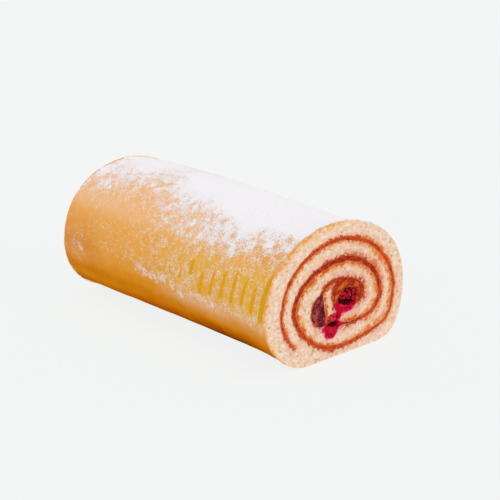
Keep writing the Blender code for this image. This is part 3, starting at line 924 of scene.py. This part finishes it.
def sift_sugar(crust, normals, cover):
    """Clumps of icing sugar on the crust, closest together where the sugar thins out."""
    draw = np.random.default_rng(101)
    along = np.linalg.norm(crust[1:] - crust[:-1], axis=2)
    around = np.linalg.norm(np.roll(crust, -1, axis=1) - crust, axis=2)[:-1]
    density = cover[:-1]
    wanted = 0.2 * density + 2.4 * density ** 1.3 * (1 - density)
    chance = (along * around * wanted).ravel()
    cells = draw.choice(len(chance), GRAIN_COUNT, p=chance / chance.sum())
    station, place = np.divmod(cells, crust.shape[1])
    after = (place + 1) % crust.shape[1]
    share_along, share_around = draw.uniform(0.0, 1.0, (2, GRAIN_COUNT, 1))
    near, far = (crust[row, place] * (1 - share_around) + crust[row, after] * share_around
                 for row in (station, station + 1))
    spots = near * (1 - share_along) + far * share_along
    up = normals[station, place]
    sideways = np.cross(up, np.array((0.0, 1.0, 0.0)))
    sideways /= np.linalg.norm(sideways, axis=1)[:, None]
    lengthways = np.cross(up, sideways)
    turn = draw.uniform(0.0, 2 * math.pi, (GRAIN_COUNT, 1))
    first = sideways * np.cos(turn) + lengthways * np.sin(turn)
    second = lengthways * np.cos(turn) - sideways * np.sin(turn)
    smallest, largest = GRAIN_SIZES
    size = smallest + (largest - smallest) * draw.uniform(0.0, 1.0, (GRAIN_COUNT, 1)) ** 2
    reach = [draw.uniform(0.7, 1.2, (GRAIN_COUNT, 1)) * size for _ in range(4)]
    top = draw.uniform(0.5, 0.95, (GRAIN_COUNT, 1)) * size
    corners = np.stack((spots + first * reach[0], spots + second * reach[1], spots - first * reach[2],
                        spots - second * reach[3], spots + up * top, spots - up * size * 0.5), axis=1)
    upper = [(side, (side + 1) % 4, 4) for side in range(4)]
    lower = [((side + 1) % 4, side, 5) for side in range(4)]
    faces = (np.array(upper + lower)[None] + np.arange(GRAIN_COUNT)[:, None, None] * 6).reshape(-1, 3)
    vertices = corners.reshape(-1, 3)
    vertices[:, 1] = np.clip(vertices[:, 1], 0.0, LENGTH) + NEAR
    make_piece("icing_sugar", vertices, faces, (icing_sugar(),), {}, sharp_angle=180.0)


# ---------------------------------------------------------------- materials

def start_material(name, patterns, labels=()):
    """A new material: its nodes, its surface, its noise patterns, and the values painted on the mesh.

    A pattern has the size of its hills in millimetres, its detail and its roughness."""
    material = bpy.data.materials.new(name)
    material.use_nodes = True
    tree = material.node_tree
    tree.nodes.clear()
    surface = add_node(tree, "ShaderNodeBsdfPrincipled")
    add_node(tree, "ShaderNodeOutputMaterial", {"Surface": surface})
    place = add_node(tree, "ShaderNodeTexCoord").outputs["Object"]
    noises = [add_node(tree, "ShaderNodeTexNoise", {"Vector": place, "Scale": 1 / (size * MM),
                                                    "Detail": detail, "Roughness": roughness})
              for size, detail, roughness in patterns]
    painted = {label: add_node(tree, "ShaderNodeAttribute", attribute_name=label).outputs["Fac"]
               for label in labels}
    return material, tree, surface, noises, painted


def lay_coats(tree, colour, coats):
    """Lay coats over a colour. Each has a value, where it starts and is full, its strength and its colour."""
    for value, start, full, strength, coat in coats:
        limits = {"Value": value, "From Min": start, "From Max": full, "To Min": 0.0, "To Max": strength}
        share = add_node(tree, "ShaderNodeMapRange", limits, interpolation_type="SMOOTHSTEP")
        colour = add_node(tree, "ShaderNodeMixRGB", {"Fac": share, "Color1": colour, "Color2": coat})
    return colour


def finish_surface(tree, surface, colour, height, depth, *, refraction, gloss, roughness):
    """Give a surface its colour, bumps up to this many millimetres deep, and how it reflects."""
    bumps = add_node(tree, "ShaderNodeBump", {"Height": height, "Distance": depth * MM, "Strength": 1.0})
    tree.links.new(colour.outputs[0], surface.inputs["Base Color"])
    tree.links.new(bumps.outputs[0], surface.inputs["Normal"])
    surface.inputs["IOR"].default_value = refraction
    surface.inputs["Specular IOR Level"].default_value = gloss
    surface.inputs["Roughness"].default_value = roughness


def baked_crust():
    """Oven-baked sponge skin, dry and matt: golden, deep brown at the foot from browning and painted shade,
    under sifted icing sugar.
    """
    # Broad mottling, pores, and powder, whose grains are too fine to show, so it is drawn in small clumps
    patterns = ((7.0, 3.0, 0.5), (1.0, 3.0, 0.6), (0.85, 3.0, 0.62))
    labels = ("sugar", "gaps", "film", "mark", "browned", "yellow", "pale", "rim_glow")
    material, tree, surface, noises, painted = start_material("baked_sponge_crust", patterns, labels)
    mottle, pores, clumps = noises
    uneven, glow = (
        add_node(tree, "ShaderNodeMath", {0: pattern, 1: weight, 2: painted[label]}, operation="MULTIPLY_ADD")
        for pattern, weight, label in ((mottle, 0.12, "browned"), (pores, 0.6, "rim_glow")))
    # The baked and shaded tone runs from 0.06 at the top of the roll, golden, to 1.06 at its foot, deep
    # brown: partly real browning, partly painted shade on the lower side
    baked_and_shaded = add_node(tree, "ShaderNodeMath", {0: pores, 1: -0.1, 2: uneven}, operation="MULTIPLY_ADD")
    skin = lay_coats(tree, "#F2B166", (
        (baked_and_shaded, 0.05, 0.27, 1.0, "#EDA84F"),
        (baked_and_shaded, 0.27, 0.51, 1.0, "#E69C3C"),
        (painted["yellow"], 0.0, 1.0, 1.0, "#ECB140"),
        (baked_and_shaded, 0.51, 0.64, 1.0, "#DB8A1E"),
        (baked_and_shaded, 0.63, 0.715, 1.0, "#D17B0F"),
        (baked_and_shaded, 0.71, 0.785, 1.0, "#C06806"),
        (baked_and_shaded, 0.78, 0.85, 1.0, "#AA5400"),
        (baked_and_shaded, 0.85, 0.94, 1.0, "#7E3400"),
        (painted["mark"], 0.04, 0.45, 1.0, "#E2A01A"),
        (glow, 0.5, 0.9, 0.85, "#F1C08A"),
        (painted["pale"], 0.1, 0.9, 0.9, "#F3D4B4"),
    ))
    settled = add_node(tree, "ShaderNodeMath", {0: clumps, 1: painted["gaps"]}, operation="SUBTRACT")
    limits = {"Value": settled, "From Min": -0.012, "From Max": 0.02, "To Min": 0.0, "To Max": 1.0}
    landed = add_node(tree, "ShaderNodeMapRange", limits, interpolation_type="SMOOTHSTEP")
    thick = {"Value": painted["sugar"], "From Min": 0.14, "From Max": 0.7, "To Min": 0.38, "To Max": 1.0}
    thickness = add_node(tree, "ShaderNodeMapRange", thick)
    heaped = add_node(tree, "ShaderNodeMath", {0: landed, 1: thickness}, operation="MULTIPLY")
    haze = add_node(tree, "ShaderNodeMath", {0: painted["sugar"], 1: 2.6}, operation="POWER")
    haze = add_node(tree, "ShaderNodeMath", {0: haze, 1: 0.4, 2: painted["film"]}, operation="MULTIPLY_ADD")
    sugar = add_node(tree, "ShaderNodeMath", {0: heaped, 1: haze}, operation="MAXIMUM")
    colour = add_node(tree, "ShaderNodeMixRGB", {"Fac": sugar, "Color1": skin, "Color2": "#F4EFF3"})
    height = add_node(tree, "ShaderNodeMath", {0: pores, 1: 0.35, 2: sugar}, operation="MULTIPLY_ADD")
    finish_surface(tree, surface, colour, height, 0.12, refraction=1.45, gloss=0.0, roughness=0.8)
    return material


def open_crumb():
    """Cut sponge: an open matt crumb, pale cream with painted shade in its pores, stained by jam and
    raspberry juice.
    """
    patterns = ((6.0, 3.0, 0.5), (2.1, 3.0, 0.6), (0.8, 3.0, 0.65))
    labels = ("soak", "bleed", "spotted", "rim_glow", "pore", "stain")
    material, tree, surface, noises, painted = start_material("cut_sponge_crumb", patterns, labels)
    broad, crumbs, fine = noises
    grainy = add_node(tree, "ShaderNodeMath", {0: fine, 1: 1.6, 2: -1.5}, operation="MULTIPLY_ADD")
    grainy = add_node(tree, "ShaderNodeMath", {0: crumbs, 1: 3.4, 2: grainy}, operation="MULTIPLY_ADD")
    soaked, stained, spots, glow = (
        add_node(tree, "ShaderNodeMath", {0: grainy, 1: painted[label]}, operation="MULTIPLY")
        for label in ("soak", "bleed", "spotted", "rim_glow"))
    juice = add_node(tree, "ShaderNodeMath", {0: fine, 1: 0.4, 2: painted["stain"]}, operation="MULTIPLY_ADD")
    juice = add_node(tree, "ShaderNodeMath", {0: juice, 1: 0.1}, operation="SUBTRACT")
    colour = lay_coats(tree, "#F0CEB4", (
        (broad, 0.42, 0.62, 0.6, "#EEC4AE"),
        # Mottling of the crumb: partly its own uneven tone, partly painted light and shade standing in for
        # its small pits and hills
        (crumbs, 0.46, 0.66, 0.9, "#F9E4D2"),
        (crumbs, 0.47, 0.3, 0.8, "#E4B28A"),
        (fine, 0.48, 0.32, 0.4, "#DCA86C"),
        (fine, 0.56, 0.7, 0.4, "#FDEEDC"),
        # Painted shade: darker tan in the deep pores
        (painted["pore"], 0.06, 0.6, 0.85, "#CE9E58"),
        (painted["bleed"], 0.03, 0.5, 0.7, "#E8B896"),
        (painted["soak"], 0.03, 0.5, 0.7, "#EEBC88"),
        (painted["rim_glow"], 0.02, 0.3, 0.4, "#F6DCAA"),
        (glow, 0.2, 0.5, 0.8, "#F0BC84"),
        (glow, 0.5, 0.8, 0.95, "#EB9C4C"),
        (stained, 0.16, 0.4, 0.9, "#E9B79E"),
        (stained, 0.4, 0.62, 1.0, "#DE9474"),
        (stained, 0.62, 0.8, 1.0, "#C8684C"),
        (stained, 0.8, 0.98, 1.0, "#AC3C26"),
        (soaked, 0.18, 0.4, 0.9, "#E8A470"),
        (soaked, 0.36, 0.58, 1.0, "#DC7E3C"),
        (soaked, 0.56, 0.8, 1.0, "#CC5C22"),
        (spots, 0.2, 0.55, 0.5, "#E9A074"),
        (spots, 0.55, 0.8, 0.9, "#E07832"),
        (juice, 0.16, 0.44, 0.8, "#F0A0A4"),
        (juice, 0.4, 0.66, 0.95, "#DE3468"),
        (juice, 0.7, 1.0, 1.0, "#BC0028"),
    ))
    finish_surface(tree, surface, colour, fine, 0.2, refraction=1.45, gloss=0.05, roughness=0.9)
    return material


def cooked_jam():
    """Cooked red fruit jam, moist and seedy: orange where thin, wine-dark in its lumps, softly shining."""
    patterns = ((2.0, 3.0, 0.6), (0.9, 2.0, 0.6), (3.4, 2.0, 0.5))
    labels = ("turn", "inner", "outer", "dollop", "pocket", "streak", "stain")
    material, tree, surface, noises, painted = start_material("cooked_fruit_jam", patterns, labels)
    lumps, seeds, blobs = noises
    layers, bits = (
        add_node(tree, "ShaderNodeMath", {0: pattern, 1: painted[label]}, operation="MULTIPLY")
        for pattern, label in ((painted["streak"], "pocket"), (seeds, "dollop")))
    crumbs, juice = (
        add_node(tree, "ShaderNodeMath", {0: pattern, 1: weight, 2: painted[label]}, operation="MULTIPLY_ADD")
        for pattern, weight, label in ((seeds, 1.6, "outer"), (lumps, 0.6, "stain")))
    centred = add_node(tree, "ShaderNodeMath", {0: blobs, 1: 0.5}, operation="SUBTRACT")
    # Stays at 0.5 outside the dollop, so neither of its two coats starts there
    gobbets = add_node(tree, "ShaderNodeMath", {0: centred, 1: painted["dollop"], 2: 0.5},
                       operation="MULTIPLY_ADD")
    colour = lay_coats(tree, "#CA4416", (
        (painted["turn"], 0.0, 1.0, 0.95, "#A82A10"),
        (lumps, 0.53, 0.66, 0.6, "#D86222"),
        (painted["inner"], 0.3, 0.85, 0.85, "#DA7228"),
        (painted["pocket"], 0.0, 1.0, 1.0, "#A82E10"),
        (layers, 0.48, 0.66, 0.9, "#D86A28"),
        (painted["dollop"], 0.0, 1.0, 1.0, "#861F2A"),
        (lumps, 0.5, 0.37, 0.65, "#7A1608"),
        (gobbets, 0.5, 0.38, 0.9, "#500C22"),
        (gobbets, 0.52, 0.64, 0.8, "#A4564A"),
        (bits, 0.58, 0.7, 0.45, "#C07868"),
        (seeds, 0.6, 0.74, 0.35, "#E28A5C"),
        (crumbs, 1.6, 1.9, 0.7, "#E4A488"),
        (juice, 0.6, 1.0, 1.0, "#C00026"),
        (juice, 1.3, 1.42, 0.6, "#EE2460"),
    ))
    height = add_node(tree, "ShaderNodeMath", {0: seeds, 1: 0.5, 2: lumps}, operation="MULTIPLY_ADD")
    finish_surface(tree, surface, colour, height, 0.4, refraction=1.42, gloss=0.03, roughness=0.35)
    return material


def cut_raspberry():
    """Raspberry cut through, wet: crimson drupelets, painted shade in their creases, painted near black shade
    in the hollow, magenta where juice runs.
    """
    patterns = ((2.4, 2.0, 0.5), (0.6, 2.0, 0.5))
    labels = ("hollow", "crease", "lip", "unripe")
    material, tree, surface, noises, painted = start_material("wet_raspberry_flesh", patterns, labels)
    patch, hairs = noises
    juice = add_node(tree, "ShaderNodeMath", {0: patch, 1: painted["lip"]}, operation="MULTIPLY")
    colour = lay_coats(tree, "#A8001C", (
        (patch, 0.44, 0.62, 0.85, "#DA0E3A"),
        (painted["unripe"], 0.0, 1.0, 0.6, "#E84650"),
        # Painted shade: dark creases between the drupelets
        (painted["crease"], 0.0, 0.85, 0.9, "#560010"),
        (painted["lip"], 0.0, 1.0, 0.85, "#BC0028"),
        (juice, 0.4, 0.56, 0.8, "#EC2A62"),
        # Painted shade: near black in the hollow
        (painted["hollow"], 0.1, 0.8, 0.95, "#42000C"),
    ))
    finish_surface(tree, surface, colour, hairs, 0.08, refraction=1.4, gloss=0.1, roughness=0.18)
    return material


def icing_sugar():
    """Icing sugar in small clumps: a fine matt white powder with the faintest cool cast."""
    material, tree, surface, (powder,), _ = start_material("icing_sugar", ((1.0, 2.0, 0.5),))
    colour = lay_coats(tree, "#F2EDF1", ((powder, 0.3, 0.7, 1.0, "#F8F3F7"),))
    finish_surface(tree, surface, colour, powder, 0.05, refraction=1.5, gloss=0.1, roughness=0.95)
    return material


def studio_floor():
    """Seamless studio paper: pale, matt, and lit so evenly that it nearly glows."""
    material = bpy.data.materials.new("studio_paper")
    material.use_nodes = True
    tree = material.node_tree
    tree.nodes.clear()
    glow = add_node(tree, "ShaderNodeEmission", {"Color": "#F3F5F4", "Strength": 1.015})
    matt = add_node(tree, "ShaderNodeBsdfDiffuse", {"Color": "#E9EBEA"})
    mixed = add_node(tree, "ShaderNodeMixShader", {"Fac": 0.08, 1: glow, 2: matt})
    add_node(tree, "ShaderNodeOutputMaterial", {"Surface": mixed})
    return material


# ---------------------------------------------------------------- studio

CAMERA_AZIMUTH = math.radians(-42.565)
CAMERA_ELEVATION = math.radians(18.504)
CAMERA_DISTANCE = 758.5
CAMERA_LENS = 99.29
AIM = (13.34, -4.0, 34.2)     # the point the camera looks at
FLOOR_SIZE = 40.0             # metres
FLOOR_GAP = 0.0002            # metres
# Suns: name, strength, angle across, tilt and turn in degrees. The broad soft one stands above, and the small
# one, which draws the wet glints, to the left of the camera.
LIGHTS = (("softbox", 0.75, 50, 38, 18), ("spotlight", 0.22, 5, 62, -68))


def set_stage():
    """Floor, soft light and camera."""
    build = bmesh.new()
    bmesh.ops.create_grid(build, x_segments=1, y_segments=1, size=FLOOR_SIZE / 2)
    mesh = bpy.data.meshes.new("floor")
    build.to_mesh(mesh)
    build.free()
    mesh.materials.append(studio_floor())
    floor = bpy.data.objects.new("floor", mesh)
    bpy.context.scene.collection.objects.link(floor)
    floor.location.z = solid_low.z - FLOOR_GAP

    world = bpy.data.worlds.new("studio")
    bpy.context.scene.world = world
    world.use_nodes = True
    backdrop = world.node_tree.nodes["Background"]
    backdrop.inputs["Color"].default_value = linear_colour("#F3F5F4")
    backdrop.inputs["Strength"].default_value = 0.86

    for name, energy, angle, tilt, turn in LIGHTS:
        lamp = bpy.data.lights.new(name, "SUN")
        lamp.energy = energy
        lamp.angle = math.radians(angle)
        holder = bpy.data.objects.new(name, lamp)
        bpy.context.scene.collection.objects.link(holder)
        holder.rotation_euler = (math.radians(tilt), 0.0, math.radians(turn))

    camera = bpy.data.objects.new("camera", bpy.data.cameras.new("camera"))
    bpy.context.scene.collection.objects.link(camera)
    camera.data.sensor_width = 36.0
    camera.data.lens = CAMERA_LENS
    back = Vector((math.sin(CAMERA_AZIMUTH) * math.cos(CAMERA_ELEVATION),
                   -math.cos(CAMERA_AZIMUTH) * math.cos(CAMERA_ELEVATION), math.sin(CAMERA_ELEVATION)))
    camera.location = (Vector(AIM) + back * CAMERA_DISTANCE) * MM
    camera.rotation_euler = (-back).to_track_quat("-Z", "Y").to_euler()
    camera.data.clip_start = 0.01
    camera.data.clip_end = 100.0
    bpy.context.scene.camera = camera
    bpy.context.scene.view_settings.view_transform = "Standard"


def main():
    # The jam's outline is taken about half way along, where no berry cuts into it
    inside_level = (NEAR + FAR) / 2 + 1.0
    jam_loops = [even_loop(loop, SLOT_PITCH, JAM_SOFTNESS) for loop in section_loops("jam", inside_level)]
    crust, normals, cover = bake_sponge([ragged(loop, SLOT_CLEARANCE) for loop in jam_loops])
    spread_jam([ragged(loop) for loop in jam_loops])
    berry_flesh = cut_raspberry()
    for end, nodes in BERRY_NODES.items():
        for place, node in enumerate(nodes):
            make_raspberry(node, end, place, berry_flesh)
    sift_sugar(crust, normals, cover)
    set_stage()


main()
